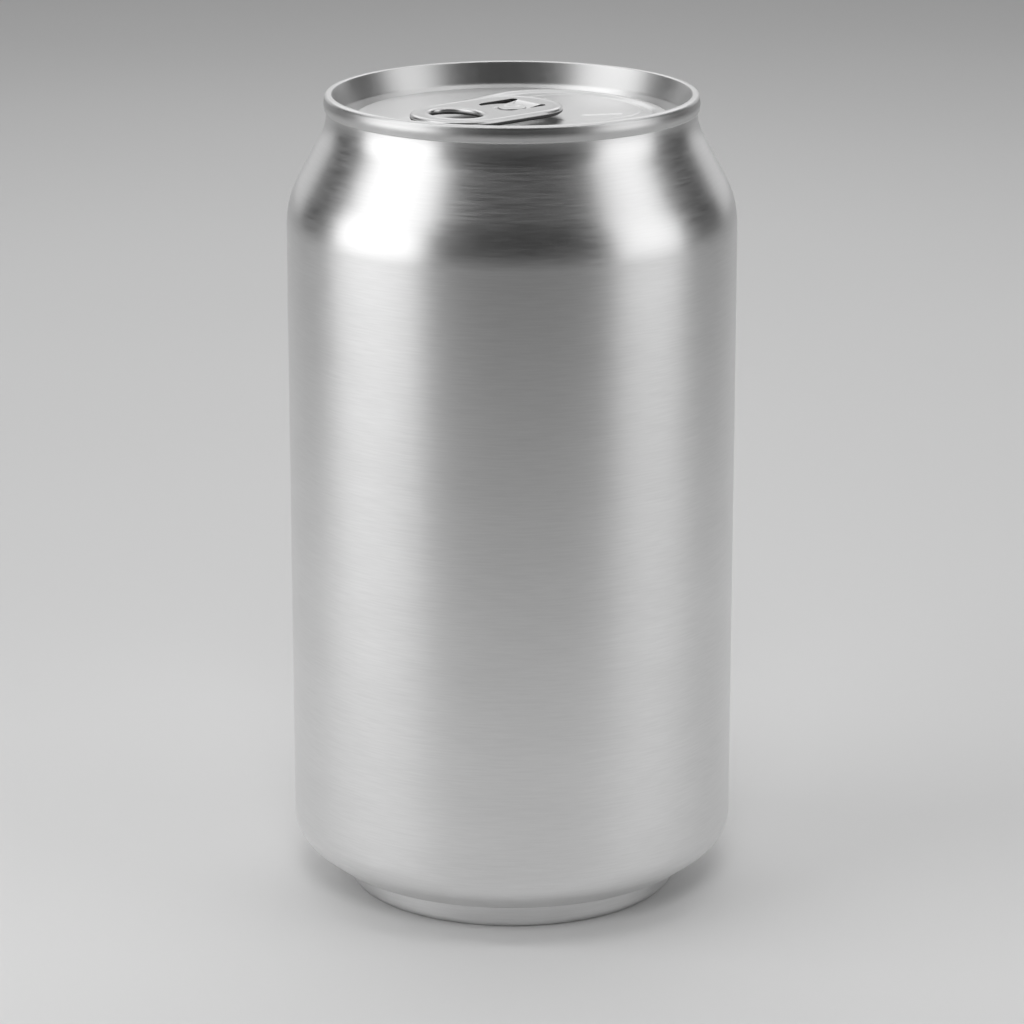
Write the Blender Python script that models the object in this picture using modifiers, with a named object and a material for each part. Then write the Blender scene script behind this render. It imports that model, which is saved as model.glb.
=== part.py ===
"""A shut aluminium drinks can, standing upright, in three pieces.

can_body is the drawn can: foot ring, domed base, straight wall, shoulder and neck.
lid is the end: seam, chuck wall, countersink groove, panel, sunk field and rivet.
pull_tab is the stamped tab that the rivet holds.

The can is shut, so the body is solid up to the underside of the lid. The frame has
+Z up the can's axis, the origin in the middle of the foot ring's resting plane, and
-Y as the front. The tab's nose points to the back right.
"""
import math

import bmesh
import bpy
from mathutils import Matrix, Vector

# Driving dimensions, in metres
CAN_HEIGHT = 0.1206
BODY_RADIUS = 0.0331
SEAM_RADIUS = 0.02745
NECK_RADIUS = 0.02705
FOOT_RADIUS = 0.02355
TAB_ANGLE = math.radians(41.0)
GAP = 0.0003
ROUND_SEGMENTS = 64
DOME_STEPS = 6
TAB_OUTLINE_STEPS = 36
SMALL_HOLE_STEPS = 24
ROUND = 2.0

# Neck and shoulder: depths are below the crest of the seam
SHOULDER_CORNER_DEPTH = 0.01523
SHOULDER_FILLET = 0.009
NECK_CORNER_DEPTH = 0.00457
NECK_FILLET = 0.0057

# Base: heights are above the resting plane
BASE_CORNER_HEIGHT = 0.00815
BASE_FILLET = 0.0053
CHIME_RADIUS = 0.0282
CHIME_HEIGHT = 0.00442
CHIME_FILLET = 0.003
GROOVE_RADIUS = 0.02545
GROOVE_HEIGHT = 0.00345
GROOVE_FILLET = 0.0005
FOOT_WIDTH = 0.0024
FOOT_FLAT = 0.0003
DOME_EDGE_RADIUS = 0.0217
DOME_EDGE_HEIGHT = 0.0036
DOME_EDGE_FILLET = 0.0008
DOME_HEIGHT = 0.0102

# Lid: depths are below the crest of the seam
SEAM_HEIGHT = 0.0025
SEAM_THICKNESS = 0.00115
SEAM_CREST_FILLET = 0.00055
SEAM_SKIRT_FILLET = 0.0003
WALL_KINK_RADIUS = 0.0253
WALL_KINK_DEPTH = 0.0032
GROOVE_OUTER_RADIUS = 0.02425
GROOVE_INNER_RADIUS = 0.0231
GROOVE_TOP_DEPTH = 0.0046
GROOVE_BOTTOM_DEPTH = 0.0058
GROOVE_ROOT_FILLET = 0.0005
PANEL_DEPTH = 0.0034
PANEL_EDGE_FILLET = 0.0004
LID_SHEET = 0.0007
RIVET_HEAD_RADIUS = 0.0021
RIVET_HEAD_THICKNESS = 0.0003
RIVET_HEAD_FILLET = 0.0002
RIVET_STEM_RADIUS = 0.00135
RIVET_DEPTH = 0.0021

# Sunk field of the panel, symmetric about the tab's long axis
FIELD_DROP = 0.00035
FIELD_SLOPE = 0.0003
FIELD_POUR_RADIUS = 0.0217
FIELD_CORNER_RADIUS = 0.0095
FIELD_CORNER_ANGLE = math.radians(23.7)
FIELD_RING_CENTRE = -0.0098
FIELD_RING_RADIUS = 0.0100
RIVET_BOSS_RADIUS = 0.0034
BEAD_HALF_WIDTH = 0.0005
BEAD_RISE = 0.00025
BEAD_ROOT = 0.00015
BEAD_CHAMFER = 0.00015
BEAD_START = (0.0089, 0.0058)
BEAD_END = (0.0137, 0.0084)

# Tab: lengths run along it from the rivet, positive to the nose
TAB_NOSE = 0.0070
TAB_NOSE_LENGTH = 0.0074
TAB_RING_END = -0.0170
TAB_RING_LENGTH = 0.0088
TAB_HALF_WIDTH = 0.0074
TAB_ROUNDNESS = 2.3
TAB_TOP_DEPTH = 0.0018
TAB_CURL = 0.0012
TAB_SHEET = 0.0004
FINGER_HOLE_CENTRE = -0.0107
FINGER_HOLE_HALF_LENGTH = 0.0034
FINGER_HOLE_HALF_WIDTH = 0.0044
FINGER_CURL = 0.0010
WEB_DROP = 0.0001
WINDOW_BACK = -0.0040
WINDOW_FRONT = 0.0034
WINDOW_HALF_WIDTH = 0.0032
WINDOW_TURN = 0.0012
ISLAND_BACK = -0.0032
ISLAND_HALF_WIDTH = 0.0025
ISLAND_TURN = 0.0008
ISLAND_THICKNESS = 0.0004
BRIDGE_START = 0.0035
BRIDGE_END = 0.0050
BRIDGE_HALF_WIDTH = 0.0022

# Finish
BODY_COLOR = (0.80, 0.80, 0.79, 1.0)
LID_COLOR = (0.76, 0.76, 0.75, 1.0)
BODY_ROUGHNESS = 0.30
LID_ROUGHNESS = 0.26
TAB_ROUGHNESS = 0.22
SMOOTH_ANGLE = math.radians(35.0)
MERGE_DISTANCE = 0.000001

TAB_FRAME = Matrix.Rotation(TAB_ANGLE, 4, "Z")


def clear_scene():
    """Remove every object that the file starts with."""
    for old in list(bpy.data.objects):
        bpy.data.objects.remove(old, do_unlink=True)


def new_collection(name):
    """Make a collection under the scene's own."""
    collection = bpy.data.collections.new(name)
    bpy.context.scene.collection.children.link(collection)
    return collection


def metal(name, color, roughness):
    """Bare aluminium with its own colour and roughness."""
    material = bpy.data.materials.new(name)
    material.use_nodes = True
    shader = material.node_tree.nodes["Principled BSDF"]
    shader.inputs["Base Color"].default_value = color
    shader.inputs["Metallic"].default_value = 1.0
    shader.inputs["Roughness"].default_value = roughness
    material.diffuse_color = color
    return material


def depth(below_crest):
    """Height of a level that is given as a depth below the seam's crest."""
    return CAN_HEIGHT - below_crest


def fillet(before, corner, after, radius, steps):
    """Points of the arc that rounds a corner between two straight legs."""
    to_before = (before - corner).normalized()
    to_after = (after - corner).normalized()
    half_angle = to_before.angle(to_after) / 2.0
    reach = radius / math.tan(half_angle)
    middle = (to_before + to_after).normalized()
    centre = corner + middle * radius / math.sin(half_angle)
    start = corner + to_before * reach - centre
    end = corner + to_after * reach - centre
    sweep = start.angle(end)
    points = []
    for step in range(steps + 1):
        share = step / steps
        blend = start * math.sin((1.0 - share) * sweep) + end * math.sin(share * sweep)
        points.append(centre + blend / math.sin(sweep))
    return points


def rounded(corners):
    """Turn (radius, height, fillet radius, fillet steps) corners into profile points."""
    spots = [Vector((corner[0], corner[1])) for corner in corners]
    points = [spots[0]]
    for index in range(1, len(corners) - 1):
        radius, steps = corners[index][2:]
        if radius > 0.0:
            points += fillet(spots[index - 1], spots[index], spots[index + 1], radius, steps)
        else:
            points.append(spots[index])
    points.append(spots[-1])
    return points


def offset_path(path, distance):
    """Shift an open path to its right by a distance, keeping its corners sharp."""
    shifted = []
    for start, end in zip(path, path[1:]):
        along = (end - start).normalized()
        aside = Vector((along.y, -along.x)) * distance
        shifted.append((start + aside, end + aside))
    points = [shifted[0][0]]
    for first, second in zip(shifted, shifted[1:]):
        run = first[1] - first[0]
        other = second[1] - second[0]
        between = second[0] - first[0]
        share = (between.x * other.y - between.y * other.x) / (run.x * other.y - run.y * other.x)
        points.append(first[0] + run * share)
    points.append(shifted[-1][1])
    return points


def at_height(start, end, height):
    """The point at a given height on the line through two points."""
    share = (height - start.y) / (end.y - start.y)
    return start + (end - start) * share


def lid_upper_path():
    """Sharp corners of the lid's upper face, from the chuck wall's top in to the axis."""
    return [
        Vector((SEAM_RADIUS - SEAM_THICKNESS, depth(SEAM_CREST_FILLET))),
        Vector((WALL_KINK_RADIUS, depth(WALL_KINK_DEPTH))),
        Vector((GROOVE_OUTER_RADIUS, depth(GROOVE_TOP_DEPTH))),
        Vector((GROOVE_OUTER_RADIUS, depth(GROOVE_BOTTOM_DEPTH))),
        Vector((GROOVE_INNER_RADIUS, depth(GROOVE_BOTTOM_DEPTH))),
        Vector((GROOVE_INNER_RADIUS, depth(PANEL_DEPTH))),
        Vector((0.0, depth(PANEL_DEPTH))),
    ]


def under_lid_path(distance, top_height):
    """The lid's upper face shifted down by a distance, starting at a given height."""
    reversed_path = list(reversed(lid_upper_path()))
    path = list(reversed(offset_path(reversed_path, distance)))
    path[0] = at_height(path[0], path[1], top_height)
    path[-1] = Vector((0.0, path[-1].y))
    return path


def body_profile():
    """The body's outline from the axis under the lid, round the outside, to the dome."""
    seat = under_lid_path(LID_SHEET + GAP, depth(SEAM_HEIGHT + GAP))
    top = [(spot.x, spot.y, 0.0, 0) for spot in reversed(seat)]
    neck_edge = (NECK_RADIUS, depth(SEAM_HEIGHT + GAP), 0.0, 0)
    neck = (NECK_RADIUS, depth(NECK_CORNER_DEPTH), NECK_FILLET, 4)
    shoulder = (BODY_RADIUS, depth(SHOULDER_CORNER_DEPTH), SHOULDER_FILLET, 5)
    foot_outer = FOOT_RADIUS + FOOT_WIDTH / 2.0
    foot_inner = FOOT_RADIUS - FOOT_WIDTH / 2.0
    foot_fillet = (FOOT_WIDTH - FOOT_FLAT) / 2.0
    base = [
        (BODY_RADIUS, BASE_CORNER_HEIGHT, BASE_FILLET, 6),
        (CHIME_RADIUS, CHIME_HEIGHT, CHIME_FILLET, 2),
        (GROOVE_RADIUS, GROOVE_HEIGHT, GROOVE_FILLET, 2),
        (foot_outer, 0.0, foot_fillet, 4),
        (foot_inner, 0.0, foot_fillet, 3),
    ]
    edge = Vector((DOME_EDGE_RADIUS, DOME_EDGE_HEIGHT))
    dome = dome_points(edge)
    corners = top + [neck_edge, neck, shoulder] + base
    corners += [(edge.x, edge.y, DOME_EDGE_FILLET, 2), (dome[1].x, dome[1].y, 0.0, 0)]
    return rounded(corners) + dome[2:]


def dome_points(edge):
    """The base's dome, a shallow spherical cap, from its edge up to the axis."""
    rise = DOME_HEIGHT - edge.y
    sphere_radius = (edge.x ** 2 + rise ** 2) / (2.0 * rise)
    edge_angle = math.asin(edge.x / sphere_radius)
    points = []
    for step in range(DOME_STEPS + 1):
        angle = edge_angle * (1.0 - step / DOME_STEPS)
        drop = sphere_radius * (1.0 - math.cos(angle))
        points.append(Vector((sphere_radius * math.sin(angle), DOME_HEIGHT - drop)))
    return points


def lid_profile():
    """The lid's outline from the rivet's top, over the panel and seam, to its underside."""
    rivet_bottom = RIVET_DEPTH + RIVET_HEAD_THICKNESS
    rivet = [
        (0.0, depth(RIVET_DEPTH), 0.0, 0),
        (RIVET_HEAD_RADIUS, depth(RIVET_DEPTH), RIVET_HEAD_FILLET, 2),
        (RIVET_HEAD_RADIUS, depth(rivet_bottom), 0.0, 0),
        (RIVET_STEM_RADIUS, depth(rivet_bottom), 0.0, 0),
        (RIVET_STEM_RADIUS, depth(PANEL_DEPTH), 0.0, 0),
    ]
    wall = lid_upper_path()
    inside = [
        (wall[5].x, wall[5].y, PANEL_EDGE_FILLET, 2),
        (wall[4].x, wall[4].y, GROOVE_ROOT_FILLET, 3),
        (wall[3].x, wall[3].y, GROOVE_ROOT_FILLET, 3),
        (wall[2].x, wall[2].y, 0.0, 0),
        (wall[1].x, wall[1].y, 0.0, 0),
    ]
    seam = [
        (SEAM_RADIUS - SEAM_THICKNESS, CAN_HEIGHT, SEAM_CREST_FILLET, 3),
        (SEAM_RADIUS, CAN_HEIGHT, SEAM_CREST_FILLET, 3),
        (SEAM_RADIUS, depth(SEAM_HEIGHT), SEAM_SKIRT_FILLET, 2),
    ]
    under = [(spot.x, spot.y, 0.0, 0) for spot in under_lid_path(LID_SHEET, depth(SEAM_HEIGHT))]
    return rounded(rivet + inside + seam + under)


def turned(name, points, collection):
    """Turn a profile about the can's axis into a closed solid."""
    mesh = bpy.data.meshes.new(name)
    vertices = [(point.x, 0.0, point.y) for point in points]
    edges = [(index, index + 1) for index in range(len(points) - 1)]
    mesh.from_pydata(vertices, edges, [])
    solid = bpy.data.objects.new(name, mesh)
    collection.objects.link(solid)
    screw = solid.modifiers.new("Turn", "SCREW")
    screw.axis = "Z"
    screw.angle = math.tau
    screw.steps = ROUND_SEGMENTS
    screw.render_steps = ROUND_SEGMENTS
    screw.use_merge_vertices = True
    screw.merge_threshold = MERGE_DISTANCE
    return solid


def settle(solid):
    """Replace an object's mesh by the evaluated one, welded, and drop its modifiers."""
    graph = bpy.context.evaluated_depsgraph_get()
    mesh = bpy.data.meshes.new_from_object(solid.evaluated_get(graph))
    editing = bmesh.new()
    editing.from_mesh(mesh)
    bmesh.ops.remove_doubles(editing, verts=editing.verts, dist=MERGE_DISTANCE)
    editing.to_mesh(mesh)
    editing.free()
    mesh.name = solid.name
    solid.modifiers.clear()
    solid.data = mesh
    return solid


def finish(solid, material):
    """Shade a piece smooth between its sharp edges and give it its material."""
    solid.data.shade_smooth()
    solid.data.set_sharp_from_angle(angle=SMOOTH_ANGLE)
    solid.data.materials.clear()
    solid.data.materials.append(material)


def add_outline(curve, points):
    """Add one closed polyline to a curve."""
    spline = curve.splines.new("POLY")
    spline.points.add(len(points) - 1)
    for spot, point in zip(spline.points, points):
        spot.co = (point.x, point.y, 0.0, 1.0)
    spline.use_cyclic_u = True


def curve_solid(name, curve, height, collection):
    """Make a curve a mesh solid at a height, turned to the tab's direction."""
    holder = bpy.data.objects.new(name + "_curve", curve)
    collection.objects.link(holder)
    holder.matrix_world = Matrix.Translation((0.0, 0.0, height)) @ TAB_FRAME
    bpy.context.view_layer.update()
    graph = bpy.context.evaluated_depsgraph_get()
    mesh = bpy.data.meshes.new_from_object(holder.evaluated_get(graph))
    solid = bpy.data.objects.new(name, mesh)
    solid.matrix_world = holder.matrix_world
    collection.objects.link(solid)
    bpy.data.objects.remove(holder, do_unlink=True)
    bpy.data.curves.remove(curve)
    return settle(solid)


def plate(name, outlines, bottom, top, chamfer, collection):
    """A flat plate with holes, cut from closed outlines, between two heights."""
    curve = bpy.data.curves.new(name, "CURVE")
    curve.dimensions = "2D"
    curve.fill_mode = "BOTH"
    curve.extrude = (top - bottom) / 2.0 - chamfer
    curve.bevel_depth = chamfer
    curve.bevel_resolution = 0
    for outline in outlines:
        add_outline(curve, outline)
    return curve_solid(name, curve, (top + bottom) / 2.0, collection)


def ring_tube(name, points, radius, height, collection):
    """A round wire along a closed flat path at a height."""
    curve = bpy.data.curves.new(name, "CURVE")
    curve.dimensions = "3D"
    curve.bevel_depth = radius
    curve.bevel_resolution = 2
    add_outline(curve, points)
    return curve_solid(name, curve, height, collection)


def combine(solid, others, operation):
    """Join or cut a solid with others by Booleans, and remove the used ones on a join."""
    for other in others:
        boolean = solid.modifiers.new("Boolean " + other.name, "BOOLEAN")
        boolean.operation = operation
        boolean.object = other
        boolean.solver = "EXACT"
    bpy.context.view_layer.update()
    settle(solid)
    for other in others:
        if operation == "UNION":
            bpy.data.objects.remove(other, do_unlink=True)
        else:
            other.hide_render = True
            other.display_type = "WIRE"


def arc(centre, radius, start, end, steps):
    """Points of a flat arc between two angles."""
    points = []
    for step in range(steps + 1):
        angle = start + (end - start) * step / steps
        points.append(Vector((centre.x + radius * math.cos(angle), centre.y + radius * math.sin(angle))))
    return points


def oval(centre, half_length, half_width, roundness, steps):
    """Points of a superellipse: ROUND is an ellipse, a higher roundness is boxier."""
    points = []
    for step in range(steps):
        angle = math.tau * step / steps
        along = math.copysign(abs(math.cos(angle)) ** (2.0 / roundness), math.cos(angle))
        across = math.copysign(abs(math.sin(angle)) ** (2.0 / roundness), math.sin(angle))
        points.append(Vector((centre + half_length * along, half_width * across)))
    return points


def mirrored(half):
    """Close a half outline on positive Y with its mirror image."""
    other = [Vector((point.x, -point.y)) for point in reversed(half)]
    return half + other[1:-1]


def field_outline():
    """Outline of the panel's sunk field: a wide pour side that narrows round the tab."""
    reach = FIELD_POUR_RADIUS - FIELD_CORNER_RADIUS
    corner = Vector((math.cos(FIELD_CORNER_ANGLE), math.sin(FIELD_CORNER_ANGLE))) * reach
    ring = Vector((FIELD_RING_CENTRE, 0.0))
    between = ring - corner
    lean = math.acos((FIELD_CORNER_RADIUS - FIELD_RING_RADIUS) / between.length)
    tangent = math.atan2(between.y, between.x) % math.tau - lean
    half = arc(Vector((0.0, 0.0)), FIELD_POUR_RADIUS, 0.0, FIELD_CORNER_ANGLE, 5)
    half += arc(corner, FIELD_CORNER_RADIUS, FIELD_CORNER_ANGLE, tangent, 7)[1:]
    half += arc(ring, FIELD_RING_RADIUS, tangent, math.pi, 8)
    return mirrored(half)


def window(back, front, half_width, turn):
    """Outline of a rectangle with round corners, centred across the tab."""
    front_corner = Vector((front - turn, half_width - turn))
    back_corner = Vector((back + turn, half_width - turn))
    half = [Vector((front, 0.0))]
    half += arc(front_corner, turn, 0.0, math.pi / 2.0, 4)
    half += arc(back_corner, turn, math.pi / 2.0, math.pi, 4)
    half.append(Vector((back, 0.0)))
    return mirrored(half)


def bar(start, end, half_width):
    """Outline of a straight bar with half-round ends."""
    heading = math.atan2(end.y - start.y, end.x - start.x)
    quarter = math.pi / 2.0
    front = arc(end, half_width, heading - quarter, heading + quarter, 6)
    return front + arc(start, half_width, heading + quarter, heading + 3.0 * quarter, 6)


def make_body(collection):
    """The solid can body."""
    body = settle(turned("can_body", body_profile(), collection))
    finish(body, metal("can_body_metal", BODY_COLOR, BODY_ROUGHNESS))


def make_lid(collection, cutters):
    """The lid, with its panel's sunk field cut in and two raised beads."""
    lid = turned("lid", lid_profile(), collection)
    floor = depth(PANEL_DEPTH + FIELD_DROP)
    clear_height = depth(PANEL_DEPTH - FIELD_SLOPE)
    boss = oval(0.0, RIVET_BOSS_RADIUS, RIVET_BOSS_RADIUS, ROUND, SMALL_HOLE_STEPS)
    sink = plate("field_cutter", [field_outline(), boss], floor, clear_height, FIELD_SLOPE, cutters)
    combine(lid, [sink], "DIFFERENCE")
    beads = []
    for side in (1.0, -1.0):
        start = Vector((BEAD_START[0], side * BEAD_START[1]))
        end = Vector((BEAD_END[0], side * BEAD_END[1]))
        outline = bar(start, end, BEAD_HALF_WIDTH)
        beads.append(plate("bead", [outline], floor - BEAD_ROOT, floor + BEAD_RISE, BEAD_CHAMFER, collection))
    combine(lid, beads, "UNION")
    finish(lid, metal("lid_metal", LID_COLOR, LID_ROUGHNESS))


def tab_outline(inset):
    """The tab's outline: straight sides between a round nose and a round ring end."""
    side = TAB_HALF_WIDTH - inset
    nose_middle = TAB_NOSE - TAB_NOSE_LENGTH
    ring_middle = TAB_RING_END + TAB_RING_LENGTH
    nose = oval(nose_middle, TAB_NOSE_LENGTH - inset, side, TAB_ROUNDNESS, TAB_OUTLINE_STEPS)
    ring = oval(ring_middle, TAB_RING_LENGTH - inset, side, TAB_ROUNDNESS, TAB_OUTLINE_STEPS)
    quarter = TAB_OUTLINE_STEPS // 4
    half = nose[: quarter + 1] + ring[quarter : 2 * quarter + 1]
    return mirrored(half)


def make_tab(collection):
    """The pull tab: curled rim, web with its finger hole and window, and rivet island."""
    curl_radius = TAB_CURL / 2.0
    rim_path = tab_outline(curl_radius)
    hole_curl = FINGER_CURL / 2.0
    hole_length = FINGER_HOLE_HALF_LENGTH + hole_curl
    hole_width = FINGER_HOLE_HALF_WIDTH + hole_curl
    hole_path = oval(FINGER_HOLE_CENTRE, hole_length, hole_width, ROUND, SMALL_HOLE_STEPS)
    web_top = depth(TAB_TOP_DEPTH + WEB_DROP)
    web_bottom = web_top - TAB_SHEET
    cuts = [hole_path, window(WINDOW_BACK, WINDOW_FRONT, WINDOW_HALF_WIDTH, WINDOW_TURN)]
    web = plate("pull_tab", [rim_path] + cuts, web_bottom, web_top, 0.0, collection)
    rim = ring_tube("rim", rim_path, curl_radius, depth(TAB_TOP_DEPTH + curl_radius), collection)
    hole_middle = depth(TAB_TOP_DEPTH + WEB_DROP / 2.0 + hole_curl)
    ring = ring_tube("ring", hole_path, hole_curl, hole_middle, collection)
    combine(web, [rim, ring] + make_island(web_bottom, collection), "UNION")
    finish(web, metal("pull_tab_metal", LID_COLOR, TAB_ROUGHNESS))


def make_island(web_bottom, collection):
    """The sunk plate under the rivet's head, and the step that joins it to the web."""
    bottom = depth(PANEL_DEPTH - GAP)
    hole_radius = RIVET_STEM_RADIUS + GAP
    hole = oval(0.0, hole_radius, hole_radius, ROUND, SMALL_HOLE_STEPS)
    outline = window(ISLAND_BACK, BRIDGE_END, ISLAND_HALF_WIDTH, ISLAND_TURN)
    floor = plate("island", [outline, hole], bottom, bottom + ISLAND_THICKNESS, 0.0, collection)
    step = window(BRIDGE_START, BRIDGE_END - ISLAND_TURN / 2.0, BRIDGE_HALF_WIDTH, ISLAND_TURN / 2.0)
    step_bottom = bottom + ISLAND_THICKNESS / 2.0
    bridge = plate("bridge", [step], step_bottom, web_bottom + TAB_SHEET / 2.0, 0.0, collection)
    return [floor, bridge]


def main():
    clear_scene()
    can = new_collection("soda_can")
    cutters = new_collection("cutters")
    make_body(can)
    make_lid(can, cutters)
    make_tab(can)


main()
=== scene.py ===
"""Looks of a shut aluminium drinks can: bare brushed metal under soft studio light.

Three finely modelled pieces each replace one plain CAD solid:
drawn_can stands for can_body, can_end for lid, and stay_on_tab for pull_tab.
The frame is the CAD's: metres, +Z up the can's axis, -Y the front. Plan shapes on the
lid are drawn along and across the tab, whose nose points to the back right.
"""
import math

import bmesh
import bpy
import numpy as np
from mathutils import Matrix, Vector
from mathutils.geometry import delaunay_2d_cdt


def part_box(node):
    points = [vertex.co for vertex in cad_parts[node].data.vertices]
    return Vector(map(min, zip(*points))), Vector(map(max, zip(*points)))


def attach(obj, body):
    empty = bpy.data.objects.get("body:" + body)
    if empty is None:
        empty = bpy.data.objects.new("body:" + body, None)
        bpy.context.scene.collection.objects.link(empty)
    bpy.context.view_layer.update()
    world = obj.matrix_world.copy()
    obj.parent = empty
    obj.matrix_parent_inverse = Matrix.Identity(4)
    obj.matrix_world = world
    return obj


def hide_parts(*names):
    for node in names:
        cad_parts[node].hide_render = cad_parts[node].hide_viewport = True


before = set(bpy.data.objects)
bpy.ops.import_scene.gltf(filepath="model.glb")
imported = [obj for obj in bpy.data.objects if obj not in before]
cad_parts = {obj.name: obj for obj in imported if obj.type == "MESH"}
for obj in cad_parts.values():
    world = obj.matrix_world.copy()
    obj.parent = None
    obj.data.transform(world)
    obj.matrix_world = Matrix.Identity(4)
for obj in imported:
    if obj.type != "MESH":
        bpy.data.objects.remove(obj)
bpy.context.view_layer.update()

# Main sizes, in metres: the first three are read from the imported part
CAN_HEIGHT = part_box("lid")[1].z
SEAM_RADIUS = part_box("lid")[1].x
BODY_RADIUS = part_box("can_body")[1].x
TAB_ANGLE = math.radians(41.0)
ROUND_SEGMENTS = 256
FILLET_STEP = math.radians(6.0)
FEWEST_FILLET_STEPS = 3

# Neck and shoulder: depths are below the crest of the seam
NECK_RADIUS = 0.02705
NECK_SHEET = 0.0003
NECK_TOP_DEPTH = 0.0023
SHOULDER_CORNER_DEPTH = 0.0157
SHOULDER_FILLET = 0.0145
NECK_CORNER_DEPTH = 0.00457
NECK_FILLET = 0.0085
UNDER_LID_DEPTH = 0.0070

# Base: heights are above the resting plane
FOOT_RADIUS = 0.02355
BASE_CORNER_HEIGHT = 0.00815
BASE_FILLET = 0.0053
CHIME_RADIUS = 0.0282
CHIME_HEIGHT = 0.00442
CHIME_FILLET = 0.003
GROOVE_RADIUS = 0.0249
GROOVE_HEIGHT = 0.0036
GROOVE_FILLET = 0.0005
FOOT_WIDTH = 0.0024
FOOT_FLAT = 0.0003
DOME_EDGE_RADIUS = 0.0217
DOME_EDGE_HEIGHT = 0.0036
DOME_EDGE_FILLET = 0.0008
DOME_HEIGHT = 0.0102
DOME_STEPS = 24
DOME_EDGE_STEPS = 2

# Lid: depths are below the crest of the seam
SEAM_HEIGHT = 0.0025
SEAM_THICKNESS = 0.00115
SEAM_INNER_FILLET = 0.00025
SEAM_CREST_FILLET = 0.0006
SEAM_SKIRT_FILLET = 0.0003
SEAM_BULGE = 0.00012
SEAM_STEPS = 10
WALL_KINK_RADIUS = 0.0253
WALL_KINK_DEPTH = 0.0032
WALL_KINK_FILLET = 0.0015
COUNTERSINK_OUTER_RADIUS = 0.02425
COUNTERSINK_INNER_RADIUS = 0.0231
COUNTERSINK_TOP_DEPTH = 0.0046
COUNTERSINK_BOTTOM_DEPTH = 0.0058
COUNTERSINK_FILLET = 0.00055
PANEL_DEPTH = 0.0034
PANEL_EDGE_FILLET = 0.0005
PANEL_RADIUS = 0.0224
LID_SHEET = 0.0005

# Rivet, formed up out of the lid
RIVET_HEAD_RADIUS = 0.0021
RIVET_HEAD_THICKNESS = 0.0003
RIVET_HEAD_FILLET = 0.00018
RIVET_DIMPLE_RADIUS = 0.0011
RIVET_DIMPLE_DEPTH = 0.00015
RIVET_STEM_RADIUS = 0.00135
RIVET_FOOT_RADIUS = 0.0016
RIVET_HOLE_STEPS = 48
RIVET_DEPTH = 0.0021

# Relief of the lid's panel
FIELD_DROP = 0.0003
FIELD_SLOPE = 0.0007
FIELD_SOFT_SLOPE = 0.0035
FIELD_SHARP_FROM = -0.0030
FIELD_SOFT_FROM = -0.0080
FIELD_POUR_RADIUS = 0.0217
FIELD_CORNER_RADIUS = 0.0095
FIELD_CORNER_ANGLE = math.radians(23.7)
FIELD_RING_CENTRE = -0.0098
FIELD_RING_RADIUS = 0.0100
FIELD_POUR_STEPS = 24
FIELD_CORNER_STEPS = 32
FIELD_RING_STEPS = 40
RIDGE_RISE = 0.00006
RIDGE_WIDTH = 0.0004
BOSS_RADIUS = 0.0034
BOSS_SLOPE = 0.0005
SCORE_CENTRE = 0.0117
SCORE_HALF_LENGTH = 0.0090
SCORE_HALF_WIDTH = 0.0108
SCORE_ROUNDNESS = 2.3
SCORE_STEPS = 160
SCORE_DEPTH = 0.00007
SCORE_WIDTH = 0.00010
BEAD_START = (0.0089, 0.0058)
BEAD_END = (0.0137, 0.0084)
BEAD_HALF_WIDTH = 0.0006
BEAD_RISE = 0.00012
RELIEF_STEP = 0.00012
FIELD_POINT_STEP = 2.5 * RELIEF_STEP
FIELD_LINES_INSIDE = 6
FIELD_LINES_OUTSIDE = 7
SCORE_POINT_STEP = 1.5 * RELIEF_STEP
SCORE_LINES = 3
PANEL_STEP = 0.0004

# Tab: lengths run along it from the rivet, positive to the nose
TAB_NOSE = 0.0070
TAB_NOSE_LENGTH = 0.0074
TAB_RING_END = -0.0170
TAB_RING_LENGTH = 0.0088
TAB_HALF_WIDTH = 0.0074
TAB_ROUNDNESS = 2.3
TAB_OUTLINE_STEPS = 160
TAB_SIDE_STEPS = 12
TAB_TOP_DEPTH = 0.0018
TAB_CURL = 0.00115
TAB_SHEET = 0.0003
TAB_STEP = 0.00035
TAB_EDGE_CLEARANCE = TAB_STEP / 3.0
CURL_RISE_STEPS = 8
CURL_TURN_STEPS = 20
CURL_TURN = math.radians(255.0)
RIM_BLEND = 0.0012
WEB_DROP = 0.00006
FINGER_HOLE_CENTRE = -0.0107
FINGER_HOLE_HALF_LENGTH = 0.0034
FINGER_HOLE_HALF_WIDTH = 0.0044
FINGER_CURL = 0.0010
FINGER_BLEND = 0.0010
FINGER_STEPS = 96
SLOT_FRONT = 0.0030
SLOT_BACK = -0.0040
SLOT_OUTER = 0.0037
SLOT_INNER = 0.0025
SLOT_TURN = 0.0016
SLOT_STEPS = 8
TONGUE_DEPTH = 0.0026
HINGE_FRONT = 0.00335
HINGE_BACK = 0.0016
ROUND = 2.0

# Painted shade on the tab's edges: a face gets the dark painted-shade metal where its normal's rise
# is below a limit
RIM_SHADE_RISE = 0.05
HOLE_SHADE_RISE = -0.25
SLOT_SHADE_RISE = 0.3
NO_SHADE_RISE = -2.0
SLOT_SHADE_WIDTH = 0.00005

SHARP_ANGLE = math.radians(35.0)
WELD = 0.000001
FINE_WELD = WELD / 10.0
FAR = 1.0
TAB_FRAME = Matrix.Rotation(TAB_ANGLE, 4, "Z")

# Camera, fitted to the photograph: the can stands on the floor at the origin
CAMERA_PLACE = (0.0, -0.5837, 0.2255)
CAMERA_TILT = math.radians(90.0 - 16.11)
CAMERA_LENS = 142.4
CAMERA_SENSOR = 36.0

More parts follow.
